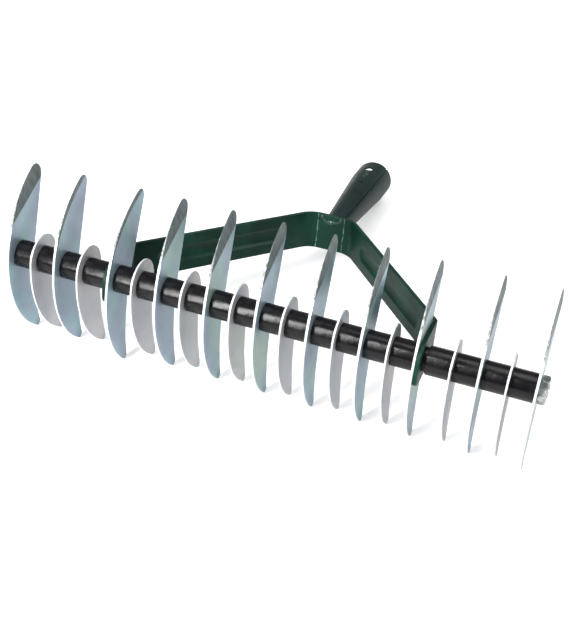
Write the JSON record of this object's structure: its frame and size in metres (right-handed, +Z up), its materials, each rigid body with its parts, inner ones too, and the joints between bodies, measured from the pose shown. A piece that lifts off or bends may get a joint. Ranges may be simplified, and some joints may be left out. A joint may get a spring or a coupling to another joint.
{
  "type": "lawn dethatcher rake head",
  "caption": "Dethatching rake head: crescent blades, long and short in turn, on a spacer-covered axle held by a bent flat bow with a tapered handle socket.",
  "frame": {"origin": "middle of the straight part of the handle bore, on its centre line", "axes": "X along the axle, +Y back towards the handle, +Z up as the head lies on the ground on its blade heels and the socket mouth"},
  "size_m": [0.3946, 0.287, 0.1289],
  "materials": {
    "blade_zinc": "zinc plated sheet, faint blue tint",
    "fastener_zinc": "bright zinc plate",
    "spacer_black": "black gloss",
    "bow_green": "dark green gloss paint",
    "socket_green": "green-black gloss paint"
  },
  "bodies": {
    "handle_frame": {"bow": "bow_green", "handle_socket": "socket_green", "socket_weld": "bow_green"},
    "blade_reel": {"long_blade_01": "blade_zinc", "long_blade_02": "blade_zinc", "long_blade_03": "blade_zinc", "long_blade_04": "blade_zinc", "long_blade_05": "blade_zinc", "long_blade_06": "blade_zinc", "long_blade_07": "blade_zinc", "long_blade_08": "blade_zinc", "long_blade_09": "blade_zinc", "long_blade_10": "blade_zinc", "long_blade_11": "blade_zinc", "short_blade_01": "blade_zinc", "short_blade_02": "blade_zinc", "short_blade_03": "blade_zinc", "short_blade_04": "blade_zinc", "short_blade_05": "blade_zinc", "short_blade_06": "blade_zinc", "short_blade_07": "blade_zinc", "short_blade_08": "blade_zinc", "short_blade_09": "blade_zinc", "short_blade_10": "blade_zinc", "spacer_01": "spacer_black", "spacer_02": "spacer_black", "spacer_03": "spacer_black", "spacer_04": "spacer_black", "spacer_05": "spacer_black", "spacer_06": "spacer_black", "spacer_07": "spacer_black", "spacer_08": "spacer_black", "spacer_09": "spacer_black", "spacer_10": "spacer_black", "spacer_11": "spacer_black", "spacer_12": "spacer_black", "spacer_13": "spacer_black", "spacer_14": "spacer_black", "spacer_15": "spacer_black", "spacer_16": "spacer_black", "spacer_17": "spacer_black", "spacer_18": "spacer_black", "spacer_19": "spacer_black", "spacer_20": "spacer_black", "axle": "fastener_zinc", "end_nuts": "fastener_zinc", "tab_washers": "spacer_black"}
  },
  "joints": [
    {"name": "reel_tilt", "type": "hinge", "parent": "handle_frame", "child": "blade_reel", "pos_m": [0, -0.2512, 0.05431], "axis": [1, 0, 0], "range_deg": [-2, 30]}
  ]
}
